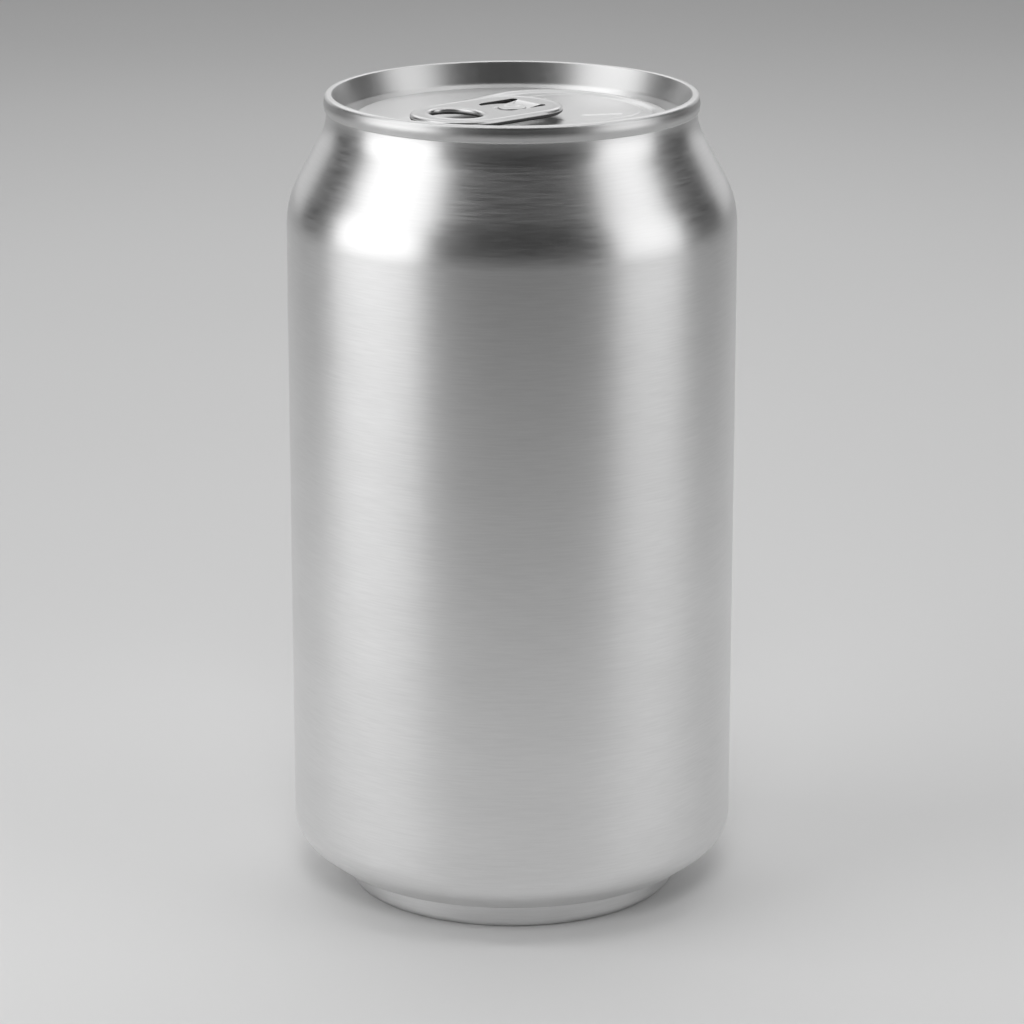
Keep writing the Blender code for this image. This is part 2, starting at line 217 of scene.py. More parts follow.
# Metals: tone, roughness, anisotropy, grain scale, contrast of the grain, relief
ROLLED_GRAIN = (900.0, 900.0, 900.0)
BRUSHED_GRAIN = (220.0, 220.0, 4500.0)
BRUSHED_CAN = (0.82, 0.34, 0.4, BRUSHED_GRAIN, 0.03, 0.03)
ROLLED_LID = (0.66, 0.36, 0.0, ROLLED_GRAIN, 0.012, 0.0)
STAMPED_TAB = (0.63, 0.30, 0.0, ROLLED_GRAIN, 0.012, 0.0)
# Painted shade: this dark metal stands in for the shadow under the tab's curled edges and in its
# slot
PAINTED_HEM_SHADE = (0.12, 0.50, 0.0, ROLLED_GRAIN, 0.012, 0.0)
GRAIN_DETAIL = 3.0
GRAIN_DEPTH = 0.00002
QUARTER_TURN = 0.25
CLOUD_SCALE = (40.0, 40.0, 120.0)
CLOUD_DETAIL = 2.0
CLOUD_DARKER = 0.02
CLOUD_LIGHTER = 0.01
NOISE_LOW = 0.3
NOISE_HIGH = 0.7

FLOOR_RADIUS = 6.0
FLOOR_SEGMENTS = 96
FLOOR_CLOUD_SCALE = (3.0, 3.0, 3.0)
FLOOR_TONES = (0.70, 0.73)
FLOOR_ROUGHNESS = 0.7

# Soft boxes that face the can: name, azimuth in degrees, distance, height of the middle,
# width, height, radiance
FACING_BOXES = (
    ("left_low_box", -72.0, 0.83, 0.19, 0.86, 0.38, 1.70),
    ("left_high_box", -72.0, 0.83, 0.85, 0.86, 0.94, 1.35),
    ("right_low_box", 73.3, 0.85, 0.19, 0.64, 0.38, 1.30),
    ("right_high_box", 73.3, 0.85, 0.64, 0.64, 0.52, 1.18),
    ("back_box", 180.0, 1.6, 0.80, 3.3, 1.6, 0.65),
)

# Soft boxes that face straight down: the same values
HANGING_BOXES = (
    ("top_box", 180.0, 0.30, 0.406, 0.765, 0.755, 0.87),
    ("front_box", 0.0, 0.13, 0.55, 0.6, 0.12, 1.4),
)

# Spots that light pools on the floor: name, place, target, spread in degrees, power
FLOOR_POOLS = (
    ("front_pool", (0.0, -0.46, 0.42), (0.0, -0.06, 0.0), 30.0, 4.8),
    ("left_pool", (-0.50, -0.06, 0.50), (-0.23, -0.05, 0.0), 26.0, 9.0),
    ("right_pool", (0.50, -0.06, 0.50), (0.23, -0.05, 0.0), 26.0, 5.0),
)
POOL_LAMP_RADIUS = 0.10
FACING_DOWN = (0.0, 0.0, 0.0)
ROOM_STRENGTH = 0.012
WHITE = (1.0, 1.0, 1.0, 1.0)


def depth(below_crest):
    """Height of a level that is given as a depth below the seam's crest."""
    return CAN_HEIGHT - below_crest


def fillet(before, corner, after, radius):
    """Points of the arc that rounds a corner between two straight legs."""
    to_before = (before - corner).normalized()
    to_after = (after - corner).normalized()
    half_angle = to_before.angle(to_after) / 2.0
    reach = radius / math.tan(half_angle)
    middle = (to_before + to_after).normalized()
    centre = corner + middle * radius / math.sin(half_angle)
    start = corner + to_before * reach - centre
    end = corner + to_after * reach - centre
    sweep = start.angle(end)
    steps = max(FEWEST_FILLET_STEPS, round(sweep / FILLET_STEP))
    points = []
    for step in range(steps + 1):
        share = step / steps
        blend = start * math.sin((1.0 - share) * sweep) + end * math.sin(share * sweep)
        points.append(centre + blend / math.sin(sweep))
    return points


def rounded(corners):
    """Turn (radius, height, fillet radius) corners into profile points."""
    spots = [Vector(corner[:2]) for corner in corners]
    points = [spots[0]]
    for index in range(1, len(corners) - 1):
        radius = corners[index][2]
        if radius > 0.0:
            points += fillet(spots[index - 1], spots[index], spots[index + 1], radius)
        else:
            points.append(spots[index])
    points.append(spots[-1])
    return points


def dome_points():
    """The base's dome, a shallow spherical cap, from its edge up to the axis."""
    rise = DOME_HEIGHT - DOME_EDGE_HEIGHT
    sphere_radius = (DOME_EDGE_RADIUS ** 2 + rise ** 2) / (2.0 * rise)
    edge_angle = math.asin(DOME_EDGE_RADIUS / sphere_radius)
    points = []
    for step in range(DOME_STEPS + 1):
        angle = edge_angle * (1.0 - step / DOME_STEPS)
        drop = sphere_radius * (1.0 - math.cos(angle))
        points.append(Vector((sphere_radius * math.sin(angle), DOME_HEIGHT - drop)))
    return points


def body_profile():
    """The drawn can's outline: hidden seat, neck, shoulder, wall, base, foot and dome."""
    seat_radius = NECK_RADIUS - NECK_SHEET
    foot_outer = FOOT_RADIUS + FOOT_WIDTH / 2.0
    foot_inner = FOOT_RADIUS - FOOT_WIDTH / 2.0
    foot_fillet = (FOOT_WIDTH - FOOT_FLAT) / 2.0
    dome = dome_points()
    corners = [
        (0.0, depth(UNDER_LID_DEPTH), 0.0),
        (seat_radius, depth(UNDER_LID_DEPTH), 0.0),
        (seat_radius, depth(NECK_TOP_DEPTH), 0.0),
        (NECK_RADIUS, depth(NECK_TOP_DEPTH), 0.0),
        (NECK_RADIUS, depth(NECK_CORNER_DEPTH), NECK_FILLET),
        (BODY_RADIUS, depth(SHOULDER_CORNER_DEPTH), SHOULDER_FILLET),
        (BODY_RADIUS, BASE_CORNER_HEIGHT, BASE_FILLET),
        (CHIME_RADIUS, CHIME_HEIGHT, CHIME_FILLET),
        (GROOVE_RADIUS, GROOVE_HEIGHT, GROOVE_FILLET),
        (foot_outer, 0.0, foot_fillet),
        (foot_inner, 0.0, foot_fillet),
        (dome[0].x, dome[0].y, DOME_EDGE_FILLET),
        (dome[DOME_EDGE_STEPS].x, dome[DOME_EDGE_STEPS].y, 0.0),
    ]
    return rounded(corners) + dome[DOME_EDGE_STEPS + 1 :]


def seam_face():
    """The seam's outer face, which bulges a little, from the crest down to the skirt."""
    top = depth(SEAM_CREST_FILLET)
    bottom = depth(SEAM_HEIGHT - SEAM_SKIRT_FILLET)
    face = []
    for step in range(1, SEAM_STEPS):
        share = step / SEAM_STEPS
        inset = SEAM_BULGE * (2.0 * share - 1.0) ** 2
        face.append((SEAM_RADIUS - inset, top + (bottom - top) * share, 0.0))
    return face


def rim_profile():
    """The lid's outline from the panel's edge over countersink, wall and seam, to below."""
    seam_inner = SEAM_RADIUS - SEAM_THICKNESS
    seam_outer = SEAM_RADIUS - SEAM_BULGE
    corners = [
        (PANEL_RADIUS, depth(PANEL_DEPTH), 0.0),
        (COUNTERSINK_INNER_RADIUS, depth(PANEL_DEPTH), PANEL_EDGE_FILLET),
        (COUNTERSINK_INNER_RADIUS, depth(COUNTERSINK_BOTTOM_DEPTH), COUNTERSINK_FILLET),
        (COUNTERSINK_OUTER_RADIUS, depth(COUNTERSINK_BOTTOM_DEPTH), COUNTERSINK_FILLET),
        (COUNTERSINK_OUTER_RADIUS, depth(COUNTERSINK_TOP_DEPTH), COUNTERSINK_FILLET),
        (WALL_KINK_RADIUS, depth(WALL_KINK_DEPTH), WALL_KINK_FILLET),
        (seam_inner, CAN_HEIGHT, SEAM_INNER_FILLET),
        (seam_outer, CAN_HEIGHT, SEAM_CREST_FILLET),
    ]
    corners += seam_face()
    corners += [
        (seam_outer, depth(SEAM_HEIGHT), SEAM_SKIRT_FILLET),
        (seam_inner + LID_SHEET, depth(SEAM_HEIGHT), 0.0),
        (WALL_KINK_RADIUS + LID_SHEET, depth(WALL_KINK_DEPTH), 0.0),
        (COUNTERSINK_OUTER_RADIUS + LID_SHEET, depth(COUNTERSINK_TOP_DEPTH), 0.0),
        (COUNTERSINK_OUTER_RADIUS + LID_SHEET, depth(COUNTERSINK_BOTTOM_DEPTH + LID_SHEET), 0.0),
        (COUNTERSINK_INNER_RADIUS - LID_SHEET, depth(COUNTERSINK_BOTTOM_DEPTH + LID_SHEET), 0.0),
        (COUNTERSINK_INNER_RADIUS - LID_SHEET, depth(PANEL_DEPTH + FIELD_DROP + LID_SHEET), 0.0),
        (0.0, depth(PANEL_DEPTH + FIELD_DROP + LID_SHEET), 0.0),
    ]
    return rounded(corners)


def rivet_profile():
    """The rivet's outline from the axis over its dimpled head and down its stem."""
    head_bottom = RIVET_DEPTH + RIVET_HEAD_THICKNESS
    dimple_bottom = RIVET_DEPTH + RIVET_DIMPLE_DEPTH
    dimple_inner = RIVET_DIMPLE_RADIUS - RIVET_DIMPLE_DEPTH
    dimple_outer = RIVET_DIMPLE_RADIUS + RIVET_DIMPLE_DEPTH
    return rounded([
        (0.0, depth(dimple_bottom), 0.0),
        (dimple_inner, depth(dimple_bottom), RIVET_DIMPLE_DEPTH),
        (dimple_outer, depth(RIVET_DEPTH), RIVET_DIMPLE_DEPTH),
        (RIVET_HEAD_RADIUS, depth(RIVET_DEPTH), RIVET_HEAD_FILLET),
        (RIVET_HEAD_RADIUS, depth(head_bottom), 0.0),
        (RIVET_STEM_RADIUS, depth(head_bottom), 0.0),
        (RIVET_STEM_RADIUS, depth(PANEL_DEPTH - RIVET_DIMPLE_DEPTH), 0.0),
        (RIVET_FOOT_RADIUS, depth(PANEL_DEPTH), 0.0),
    ])


def turned(editing, points):
    """Turn a profile about the can's axis into faces of a mesh that is being edited."""
    rings = []
    for point in points:
        if point.x < WELD:
            rings.append([editing.verts.new((0.0, 0.0, point.y))] * ROUND_SEGMENTS)
            continue
        ring = []
        for segment in range(ROUND_SEGMENTS):
            angle = math.tau * segment / ROUND_SEGMENTS
            place = (point.x * math.cos(angle), point.x * math.sin(angle), point.y)
            ring.append(editing.verts.new(place))
        rings.append(ring)
    bridge(editing, rings)


def bridge(editing, rings):
    """Fill between rings of as many vertices each; a ring may be one repeated vertex."""
    for lower, upper in zip(rings, rings[1:]):
        for index in range(len(lower)):
            after = (index + 1) % len(lower)
            corners = [lower[index], lower[after], upper[after], upper[index]]
            unique = list(dict.fromkeys(corners))
            if len(unique) > 2:
                editing.faces.new(unique)


def sheet(editing, loops, spots, height_of, inside):
    """Triangulate plan points between closed loops and lift them to a height function."""
    flat = []
    edges = []
    for loop in loops:
        first = len(flat)
        flat += [Vector(point[:2]) for point in loop]
        for index in range(len(loop)):
            edges.append((first + index, first + (index + 1) % len(loop)))
    flat += [Vector(spot) for spot in spots]
    points, _, triangles, _, _, _ = delaunay_2d_cdt(flat, edges, [], 0, FINE_WELD)
    plan = np.array([point[:] for point in points])
    heights = height_of(plan)
    vertices = [editing.verts.new((x, y, z)) for (x, y), z in zip(plan, heights)]
    middles = np.array([plan[list(triangle)].mean(axis=0) for triangle in triangles])
    for triangle, keep in zip(triangles, inside(middles)):
        if keep:
            editing.faces.new([vertices[corner] for corner in triangle])
    loose = [vertex for vertex in vertices if not vertex.link_faces]
    bmesh.ops.delete(editing, geom=loose, context="VERTS")


def grid_spots(low, high, step):
    """Points of a triangular grid that covers a rectangle."""
    rows = []
    row_step = step * math.sqrt(3.0) / 2.0
    for row in range(int((high[1] - low[1]) / row_step) + 1):
        shift = step / 2.0 if row % 2 else 0.0
        columns = np.arange(low[0] + shift, high[0], step)
        rows.append(np.column_stack([columns, np.full(len(columns), low[1] + row * row_step)]))
    return np.concatenate(rows)


def distance_to_leg(start, end, plan):
    """Distance of plan points from a straight leg between two points."""
    along = end - start
    share = np.clip((plan - start) @ along / (along @ along), 0.0, 1.0)
    gap = plan - start - share[:, None] * along
    return np.hypot(gap[:, 0], gap[:, 1])


def distance_to(loop, plan):
    """Distance of plan points from a closed outline, negative inside it."""
    starts = np.array([point[:2] for point in loop])
    ends = np.roll(starts, -1, axis=0)
    nearest = np.full(len(plan), FAR)
    crossings = np.zeros(len(plan), dtype=int)
    for start, end in zip(starts, ends):
        nearest = np.minimum(nearest, distance_to_leg(start, end, plan))
        spans = (start[1] > plan[:, 1]) != (end[1] > plan[:, 1])
        if spans.any():
            slant = (end[0] - start[0]) / (end[1] - start[1])
            reach = start[0] + (plan[:, 1] - start[1]) * slant
            crossings += spans & (plan[:, 0] < reach)
    return np.where(crossings % 2 == 1, -nearest, nearest)


def smoothstep(values):
    """Ease a ramp from 0 to 1, held at both ends."""
    held = np.clip(values, 0.0, 1.0)
    return held * held * (3.0 - 2.0 * held)


def arc(centre, radius, start, end, steps):
    """Points of a flat arc between two angles."""
    points = []
    for step in range(steps + 1):
        angle = start + (end - start) * step / steps
        x = centre[0] + radius * math.cos(angle)
        y = centre[1] + radius * math.sin(angle)
        points.append(Vector((x, y)))
    return points


def oval(centre, half_length, half_width, roundness, steps):
    """Points of a superellipse: ROUND is an ellipse, a higher roundness is boxier."""
    points = []
    for step in range(steps):
        angle = math.tau * step / steps
        along = math.copysign(abs(math.cos(angle)) ** (2.0 / roundness), math.cos(angle))
        across = math.copysign(abs(math.sin(angle)) ** (2.0 / roundness), math.sin(angle))
        points.append(Vector((centre + half_length * along, half_width * across)))
    return points


def mirrored(half):
    """Close a half outline on positive Y with its mirror image."""
    other = [Vector((point.x, -point.y)) for point in reversed(half)]
    return half + other[1:-1]


def field_outline():
    """Outline of the panel's sunk field: a wide pour side that narrows round the tab."""
    reach = FIELD_POUR_RADIUS - FIELD_CORNER_RADIUS
    corner = Vector((math.cos(FIELD_CORNER_ANGLE), math.sin(FIELD_CORNER_ANGLE))) * reach
    ring = Vector((FIELD_RING_CENTRE, 0.0))
    between = ring - corner
    lean = math.acos((FIELD_CORNER_RADIUS - FIELD_RING_RADIUS) / between.length)
    tangent = math.atan2(between.y, between.x) % math.tau - lean
    half = arc((0.0, 0.0), FIELD_POUR_RADIUS, 0.0, FIELD_CORNER_ANGLE, FIELD_POUR_STEPS)
    turn = arc(corner, FIELD_CORNER_RADIUS, FIELD_CORNER_ANGLE, tangent, FIELD_CORNER_STEPS)
    half += turn[1:]
    half += arc(ring, FIELD_RING_RADIUS, tangent, math.pi, FIELD_RING_STEPS)
    return mirrored(half)


def resampled(loop, step):
    """Points spaced evenly along a closed outline."""
    points = np.array([point[:] for point in loop])
    legs = np.roll(points, -1, axis=0) - points
    lengths = np.hypot(legs[:, 0], legs[:, 1])
    ends = np.cumsum(lengths)
    count = int(ends[-1] / step)
    places = []
    for index in range(count):
        travel = ends[-1] * index / count
        leg = int(np.searchsorted(ends, travel, side="right"))
        share = (travel - (ends[leg] - lengths[leg])) / lengths[leg]
        places.append(points[leg] + legs[leg] * share)
    return np.array(places)


def lines_beside(loop, offsets, step):
    """Evenly spaced points on lines that run beside a closed outline at some offsets."""
    points = resampled(loop, step)
    along = np.roll(points, -1, axis=0) - np.roll(points, 1, axis=0)
    along /= np.hypot(along[:, 0], along[:, 1])[:, None]
    outward = np.column_stack([along[:, 1], -along[:, 0]])
    return np.concatenate([points + outward * offset for offset in offsets])


FIELD = field_outline()
SCORE = oval(SCORE_CENTRE, SCORE_HALF_LENGTH, SCORE_HALF_WIDTH, SCORE_ROUNDNESS, SCORE_STEPS)


def panel_height(plan):
    """Height of the panel's upper face: sunk field, ridge, boss, score line and beads."""
    field = distance_to(FIELD, plan)
    sharp = smoothstep((plan[:, 0] - FIELD_SOFT_FROM) / (FIELD_SHARP_FROM - FIELD_SOFT_FROM))
    sunk = smoothstep(-field / (FIELD_SLOPE + (FIELD_SOFT_SLOPE - FIELD_SLOPE) * (1.0 - sharp)))
    ridge = sharp * np.exp(-(((field - RIDGE_WIDTH) / RIDGE_WIDTH) ** 2))
    radius = np.hypot(plan[:, 0], plan[:, 1])
    boss = 1.0 - smoothstep((radius - BOSS_RADIUS) / BOSS_SLOPE)
    height = depth(PANEL_DEPTH) - FIELD_DROP * sunk * (1.0 - boss) + RIDGE_RISE * ridge
    score = np.exp(-((distance_to(SCORE, plan) / SCORE_WIDTH) ** 2))
    height -= SCORE_DEPTH * score
    for side in (1.0, -1.0):
        start = np.array((BEAD_START[0], side * BEAD_START[1]))
        end = np.array((BEAD_END[0], side * BEAD_END[1]))
        reach = distance_to_leg(start, end, plan) / BEAD_HALF_WIDTH
        height += BEAD_RISE * smoothstep(1.0 - reach)
    return height


def circle(radius):
    """Points of a circle round the can's axis that match the turned rings."""
    points = []
    for segment in range(ROUND_SEGMENTS):
        angle = math.tau * segment / ROUND_SEGMENTS - TAB_ANGLE
        points.append(Vector((radius * math.cos(angle), radius * math.sin(angle))))
    return points


def panel_spots():
    """Plan points of the panel: dense beside its relief, and an even grid elsewhere."""
    near = np.arange(-FIELD_LINES_INSIDE, FIELD_LINES_OUTSIDE + 1) * RELIEF_STEP
    nearer = np.arange(-SCORE_LINES, SCORE_LINES + 1) * RELIEF_STEP / 2.0
    guides = [
        lines_beside(FIELD, near, FIELD_POINT_STEP),
        lines_beside(SCORE, nearer, SCORE_POINT_STEP),
    ]
    bead_low = np.array((BEAD_START[0], BEAD_START[1])) - 2.0 * BEAD_HALF_WIDTH
    bead_high = np.array((BEAD_END[0], BEAD_END[1])) + 2.0 * BEAD_HALF_WIDTH
    bead = grid_spots(bead_low, bead_high, RELIEF_STEP)
    guides += [bead, bead * (1.0, -1.0)]
    guides = np.concatenate(guides)
    reach = np.hypot(guides[:, 0], guides[:, 1])
    keep = (reach < PANEL_RADIUS - RELIEF_STEP) & (reach > RIVET_FOOT_RADIUS + RELIEF_STEP)
    guides = guides[keep]
    grid = grid_spots((-PANEL_RADIUS, -PANEL_RADIUS), (PANEL_RADIUS, PANEL_RADIUS), PANEL_STEP)
    reach = np.hypot(grid[:, 0], grid[:, 1])
    keep = reach < PANEL_RADIUS - PANEL_STEP / 2.0
    keep &= reach > RIVET_FOOT_RADIUS + PANEL_STEP / 4.0
    field = distance_to(FIELD, grid)
    keep &= (field < near[0]) | (field > near[-1])
    return np.concatenate([guides, grid[keep]])


def between_circles(plan):
    """Which plan points lie on the panel, outside the rivet's foot."""
    reach = np.hypot(plan[:, 0], plan[:, 1])
    return (reach < PANEL_RADIUS) & (reach > RIVET_FOOT_RADIUS)


def solid_from(name, editing):
    """Weld a mesh that is being edited into a closed object and turn its faces out."""
    bmesh.ops.remove_doubles(editing, verts=editing.verts, dist=WELD)
    bmesh.ops.dissolve_degenerate(editing, edges=editing.edges, dist=FINE_WELD)
    bmesh.ops.recalc_face_normals(editing, faces=editing.faces)
    mesh = bpy.data.meshes.new(name)
    editing.to_mesh(mesh)
    editing.free()
    piece = bpy.data.objects.new(name, mesh)
    bpy.context.scene.collection.objects.link(piece)
    mesh.shade_smooth()
    mesh.set_sharp_from_angle(angle=SHARP_ANGLE)
    return piece


def make_body():
    """The drawn can: foot, dome, wall, shoulder and neck."""
    editing = bmesh.new()
    turned(editing, body_profile())
    return solid_from("drawn_can", editing)


def make_lid():
    """The can's end: seam, chuck wall, countersink, panel with its relief, and rivet."""
    editing = bmesh.new()
    loops = [circle(PANEL_RADIUS), circle(RIVET_FOOT_RADIUS)]
    sheet(editing, loops, panel_spots(), panel_height, between_circles)
    bmesh.ops.transform(editing, matrix=TAB_FRAME, verts=editing.verts)
    turned(editing, rim_profile())
    turned(editing, rivet_profile())
    return solid_from("can_end", editing)


def tab_outline(inset):
    """The tab's outline: straight sides between a round nose and a round ring end."""
    side = TAB_HALF_WIDTH - inset
    nose_middle = TAB_NOSE - TAB_NOSE_LENGTH
    ring_middle = TAB_RING_END + TAB_RING_LENGTH
    nose = oval(nose_middle, TAB_NOSE_LENGTH - inset, side, TAB_ROUNDNESS, TAB_OUTLINE_STEPS)
    ring = oval(ring_middle, TAB_RING_LENGTH - inset, side, TAB_ROUNDNESS, TAB_OUTLINE_STEPS)
    quarter = TAB_OUTLINE_STEPS // 4
    straight = []
    for step in range(1, TAB_SIDE_STEPS):
        straight.append(nose[quarter].lerp(ring[quarter], step / TAB_SIDE_STEPS))
    half = nose[: quarter + 1] + straight + ring[quarter : 2 * quarter + 1]
    return mirrored(half)


def finger_hole(outset):
    """The finger hole's outline, or one outside it."""
    length = FINGER_HOLE_HALF_LENGTH + outset
    width = FINGER_HOLE_HALF_WIDTH + outset
    return oval(FINGER_HOLE_CENTRE, length, width, ROUND, FINGER_STEPS)


def slot_outline():
    """The U-shaped slot that frees the tongue under the rivet on three sides."""
    quarter = math.pi / 2.0
    middle = (SLOT_OUTER + SLOT_INNER) / 2.0
    half_gap = (SLOT_OUTER - SLOT_INNER) / 2.0
    outer_back = SLOT_BACK + SLOT_TURN
    outer_side = SLOT_OUTER - SLOT_TURN
    inner_turn = SLOT_TURN - 2.0 * half_gap
    outer = arc((outer_back, outer_side), SLOT_TURN, quarter, 2.0 * quarter, SLOT_STEPS)
    outer += arc((outer_back, -outer_side), SLOT_TURN, 2.0 * quarter, 3.0 * quarter, SLOT_STEPS)
    near_end = arc((SLOT_FRONT, -middle), half_gap, -quarter, quarter, SLOT_STEPS)
    inner = arc((outer_back, -outer_side), inner_turn, 3.0 * quarter, 2.0 * quarter, SLOT_STEPS)
    inner += arc((outer_back, outer_side), inner_turn, 2.0 * quarter, quarter, SLOT_STEPS)
    far_end = arc((SLOT_FRONT, middle), half_gap, -quarter, quarter, SLOT_STEPS)
    return outer + near_end + inner + far_end


SLOT = slot_outline()
WEB_RIM = tab_outline(RIM_BLEND)
WEB_HOLE = finger_hole(FINGER_BLEND)


def web_height(plan):
    """Height of the tab's web: flat, with the tongue bent down under the rivet's head."""
    drop = TONGUE_DEPTH - TAB_TOP_DEPTH - WEB_DROP
    bend = smoothstep((HINGE_FRONT - plan[:, 0]) / (HINGE_FRONT - HINGE_BACK))
    on_tongue = np.abs(plan[:, 1]) < (SLOT_OUTER + SLOT_INNER) / 2.0
    on_tongue &= plan[:, 0] > SLOT_BACK + (SLOT_OUTER - SLOT_INNER) / 2.0
    return depth(TAB_TOP_DEPTH + WEB_DROP) - drop * np.where(on_tongue, bend, 0.0)


def on_web(plan):
    """Which plan points lie on the web, clear of the finger hole, slot and rivet."""
    keep = distance_to(WEB_RIM, plan) < 0.0
    keep &= distance_to(WEB_HOLE, plan) > 0.0
    keep &= distance_to(SLOT, plan) > 0.0
    return keep & (np.hypot(plan[:, 0], plan[:, 1]) > RIVET_FOOT_RADIUS)


def web_spots():
    """Plan points inside the web, on an even grid clear of its edges."""
    low = (TAB_RING_END, -TAB_HALF_WIDTH)
    high = (TAB_NOSE, TAB_HALF_WIDTH)
    grid = grid_spots(low, high, TAB_STEP)
    keep = distance_to(WEB_RIM, grid) < -TAB_EDGE_CLEARANCE
    keep &= distance_to(WEB_HOLE, grid) > TAB_EDGE_CLEARANCE
    keep &= distance_to(SLOT, grid) > TAB_EDGE_CLEARANCE
    keep &= np.hypot(grid[:, 0], grid[:, 1]) > RIVET_FOOT_RADIUS + TAB_EDGE_CLEARANCE
    return grid[keep]


def curl_section(curl, blend):
    """Section of a curled edge as (inset, height) pairs, from the web's top to below it."""
    radius = curl / 2.0
    web_top = depth(TAB_TOP_DEPTH + WEB_DROP)
    top = depth(TAB_TOP_DEPTH)
    pairs = []
    for step in range(CURL_RISE_STEPS):
        share = step / CURL_RISE_STEPS
        height = web_top + (top - web_top) * smoothstep(share)
        pairs.append((blend + (radius - blend) * share, height))
    for step in range(CURL_TURN_STEPS + 1):
        angle = math.pi / 2.0 - CURL_TURN * step / CURL_TURN_STEPS
        pairs.append((radius - radius * math.cos(angle), top - radius + radius * math.sin(angle)))
    pairs.append((blend, web_top - TAB_SHEET))
    return pairs


def curled_edge(editing, outline_at, curl, blend):
    """Loft a curled edge along outlines that one function gives for each inset."""
    rings = []
    for inset, height in curl_section(curl, blend):
        rings.append([editing.verts.new((*point[:2], height)) for point in outline_at(inset)])
    bridge(editing, rings)


def make_tab():
    """The stay-on tab: curled rim and finger hole, flat web, slot and bent tongue."""
    editing = bmesh.new()
    hole = oval(0.0, RIVET_FOOT_RADIUS, RIVET_FOOT_RADIUS, ROUND, RIVET_HOLE_STEPS)
    loops = [WEB_RIM, WEB_HOLE, SLOT, hole]
    spots = web_spots()
    sheet(editing, loops, spots, web_height, on_web)
    sheet(editing, loops, spots, lambda plan: web_height(plan) - TAB_SHEET, on_web)
    for loop in (SLOT, hole):
        plan = np.array([point[:] for point in loop])
        heights = web_height(plan)
        upper = [editing.verts.new((x, y, z)) for (x, y), z in zip(plan, heights)]
        lower = [editing.verts.new((x, y, z - TAB_SHEET)) for (x, y), z in zip(plan, heights)]
        bridge(editing, [upper, lower])
    curled_edge(editing, tab_outline, TAB_CURL, RIM_BLEND)
    curled_edge(editing, finger_hole, FINGER_CURL, FINGER_BLEND)
    bmesh.ops.transform(editing, matrix=TAB_FRAME, verts=editing.verts)
    return solid_from("stay_on_tab", editing)


class Nodes:
    """A short way to add linked shader nodes to a material."""

    def __init__(self, material):
        """Turn on a material's nodes and keep its shader at hand."""
        material.use_nodes = True
        self.tree = material.node_tree
        self.shader = self.tree.nodes["Principled BSDF"]

    def add(self, kind, settings=None, **inputs):
        """Add a node, set its properties, and set or link its inputs by name."""
        node = self.tree.nodes.new(kind)
        for name, value in (settings or {}).items():
            setattr(node, name, value)
        for name, value in inputs.items():
            self.feed(node.inputs[name.replace("_", " ")], value)
        return node

    def feed(self, socket, value):
        """Link a socket to an output, or set its value."""
        if isinstance(value, bpy.types.NodeSocket):
            self.tree.links.new(value, socket)
        else:
            socket.default_value = value

    def streaks(self, scale, detail):
        """Noise that is stretched by a scale on each axis."""
        place = self.add("ShaderNodeTexCoord").outputs["Object"]
        stretched = self.add("ShaderNodeMapping", Vector=place, Scale=scale)
        noise = self.add("ShaderNodeTexNoise", Vector=stretched.outputs[0], Scale=1.0, Detail=detail)
        return noise.outputs["Fac"]

    def ranged(self, value, low, high):
        """Spread the middle of a noise over a range."""
        limits = {"From_Min": NOISE_LOW, "From_Max": NOISE_HIGH, "To_Min": low, "To_Max": high}
        ranged = self.add("ShaderNodeMapRange", Value=value, **limits)
        return ranged.outputs["Result"]

    def grey(self, value):
        """Turn one value into a grey colour."""
        color = self.add("ShaderNodeCombineColor", Red=value, Green=value, Blue=value)
        return color.outputs[0]


def metal(name, tone, roughness, anisotropy, grain, contrast, relief):
    """Bare aluminium whose fine grain and cloudy tone come from stretched noise."""
    material = bpy.data.materials.new(name)
    nodes = Nodes(material)
    shader = nodes.shader
    shader.inputs["Metallic"].default_value = 1.0
    shader.inputs["Anisotropic"].default_value = anisotropy
    shader.inputs["Anisotropic Rotation"].default_value = QUARTER_TURN
    fine = nodes.streaks(grain, GRAIN_DETAIL)
    soft = nodes.streaks(CLOUD_SCALE, CLOUD_DETAIL)
    light = nodes.ranged(soft, tone - CLOUD_DARKER, tone + CLOUD_LIGHTER)
    marks = nodes.ranged(fine, 1.0 - contrast, 1.0 + contrast)
    shade = nodes.add("ShaderNodeMath", {"operation": "MULTIPLY"})
    nodes.feed(shade.inputs[0], light)
    nodes.feed(shade.inputs[1], marks)
    nodes.feed(shader.inputs["Base Color"], nodes.grey(shade.outputs[0]))
    rough = nodes.ranged(fine, roughness - contrast, roughness + contrast)
    nodes.feed(shader.inputs["Roughness"], rough)
    tangent = nodes.add("ShaderNodeTangent", {"direction_type": "RADIAL", "axis": "Z"})
    nodes.feed(shader.inputs["Tangent"], tangent.outputs[0])
    if relief > 0.0:
        bump = nodes.add("ShaderNodeBump", Height=fine, Strength=relief, Distance=GRAIN_DEPTH)
        nodes.feed(shader.inputs["Normal"], bump.outputs[0])
    return material


def dress(piece, node, material):
    """Put a piece in the place of its CAD node, on the can's one body."""
    piece.data.materials.append(material)
    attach(piece, "root")
    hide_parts(node)


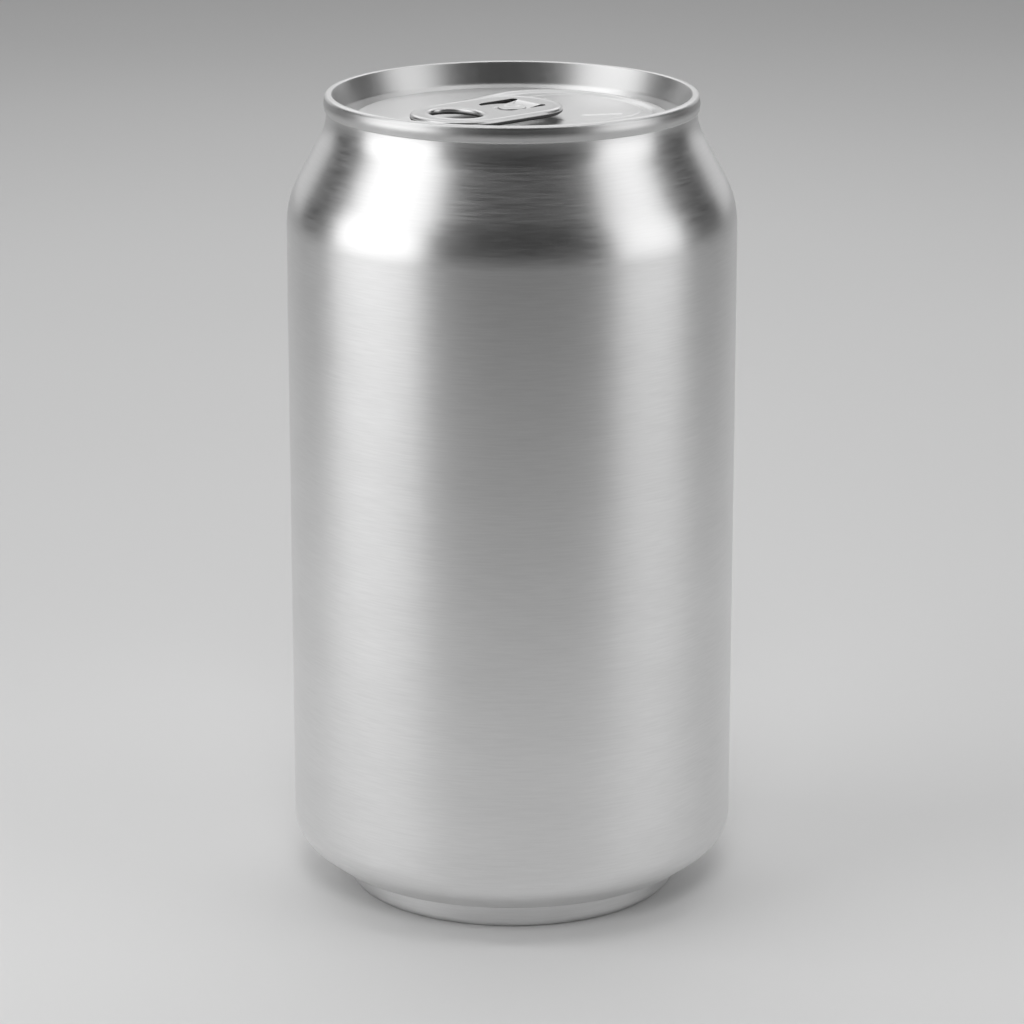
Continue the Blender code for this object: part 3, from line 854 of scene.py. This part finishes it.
def paint_hem_shade(tab, material):
    """Paint shade on the downward faces of the tab's curled edges and the walls of its slot: the
    dark second material stands in for the shadow there.
    """
    tab.data.materials.append(material)
    to_plan = TAB_FRAME.inverted()
    middles = np.array([(to_plan @ face.center)[:2] for face in tab.data.polygons])
    curled = distance_to(WEB_RIM, middles) > 0.0
    limits = np.where(curled, RIM_SHADE_RISE, NO_SHADE_RISE)
    limits[distance_to(WEB_HOLE, middles) < FINGER_BLEND / 2.0] = HOLE_SHADE_RISE
    limits[np.abs(distance_to(SLOT, middles)) < SLOT_SHADE_WIDTH] = SLOT_SHADE_RISE
    # Faces that turn down past their limit take the painted-shade material
    for face, limit in zip(tab.data.polygons, limits):
        if face.normal.z < limit:
            face.material_index = 1


def make_floor():
    """A plain pale floor with a faint unevenness in its tone."""
    mesh = bpy.data.meshes.new("floor")
    editing = bmesh.new()
    bmesh.ops.create_circle(editing, cap_ends=True, segments=FLOOR_SEGMENTS, radius=FLOOR_RADIUS)
    editing.to_mesh(mesh)
    editing.free()
    floor = bpy.data.objects.new("floor", mesh)
    bpy.context.scene.collection.objects.link(floor)
    material = bpy.data.materials.new("pale_floor")
    nodes = Nodes(material)
    cloud = nodes.ranged(nodes.streaks(FLOOR_CLOUD_SCALE, CLOUD_DETAIL), *FLOOR_TONES)
    nodes.feed(nodes.shader.inputs["Base Color"], nodes.grey(cloud))
    nodes.shader.inputs["Roughness"].default_value = FLOOR_ROUGHNESS
    mesh.materials.append(material)


def soft_light(name, azimuth, distance, middle_height, width, height, radiance):
    """A soft box that faces the can's axis; azimuth 0 is the camera's side, 90 the right."""
    light = bpy.data.lights.new(name, "AREA")
    light.shape = "RECTANGLE"
    light.size = width
    light.size_y = height
    light.energy = radiance * math.pi * width * height
    lamp = bpy.data.objects.new(name, light)
    bpy.context.scene.collection.objects.link(lamp)
    angle = math.radians(azimuth)
    outward = Vector((math.sin(angle), -math.cos(angle), 0.0)) * distance
    lamp.location = outward + Vector((0.0, 0.0, middle_height))
    lamp.rotation_euler = (-outward).to_track_quat("-Z", "Y").to_euler()
    lamp.visible_camera = False
    return lamp


def floor_pool(name, place, target, spread, power):
    """A soft spot of light on the floor, which the bare metal doesn't mirror."""
    light = bpy.data.lights.new(name, "SPOT")
    light.energy = power
    light.spot_size = math.radians(spread)
    light.spot_blend = 1.0
    light.shadow_soft_size = POOL_LAMP_RADIUS
    lamp = bpy.data.objects.new(name, light)
    bpy.context.scene.collection.objects.link(lamp)
    lamp.location = place
    lamp.rotation_euler = (Vector(target) - Vector(place)).to_track_quat("-Z", "Y").to_euler()
    lamp.visible_glossy = False
    lamp.visible_camera = False


def make_lights():
    """Soft boxes round and above the can, pools of light on the floor, and a faint room."""
    for values in FACING_BOXES:
        soft_light(*values)
    for values in HANGING_BOXES:
        lamp = soft_light(*values)
        lamp.rotation_euler = FACING_DOWN
    for values in FLOOR_POOLS:
        floor_pool(*values)
    world = bpy.data.worlds.new("room")
    bpy.context.scene.world = world
    world.use_nodes = True
    background = world.node_tree.nodes["Background"]
    background.inputs["Color"].default_value = WHITE
    background.inputs["Strength"].default_value = ROOM_STRENGTH


def make_camera():
    """The camera at the photograph's place and angle."""
    data = bpy.data.cameras.new("camera")
    data.sensor_width = CAMERA_SENSOR
    data.lens = CAMERA_LENS
    camera = bpy.data.objects.new("camera", data)
    bpy.context.scene.collection.objects.link(camera)
    camera.location = CAMERA_PLACE
    camera.rotation_euler = (CAMERA_TILT, 0.0, 0.0)
    bpy.context.scene.camera = camera


def main():
    """Build the can in its studio."""
    dress(make_body(), "can_body", metal("brushed_can", *BRUSHED_CAN))
    dress(make_lid(), "lid", metal("rolled_lid", *ROLLED_LID))
    tab = make_tab()
    dress(tab, "pull_tab", metal("stamped_tab", *STAMPED_TAB))
    # Painted shade: the tab's downward curl faces and slot walls get a dark metal in place of the
    # shadow under them
    paint_hem_shade(tab, metal("painted_hem_shade", *PAINTED_HEM_SHADE))
    make_floor()
    make_lights()
    make_camera()
    bpy.context.scene.view_settings.view_transform = "Standard"


main()
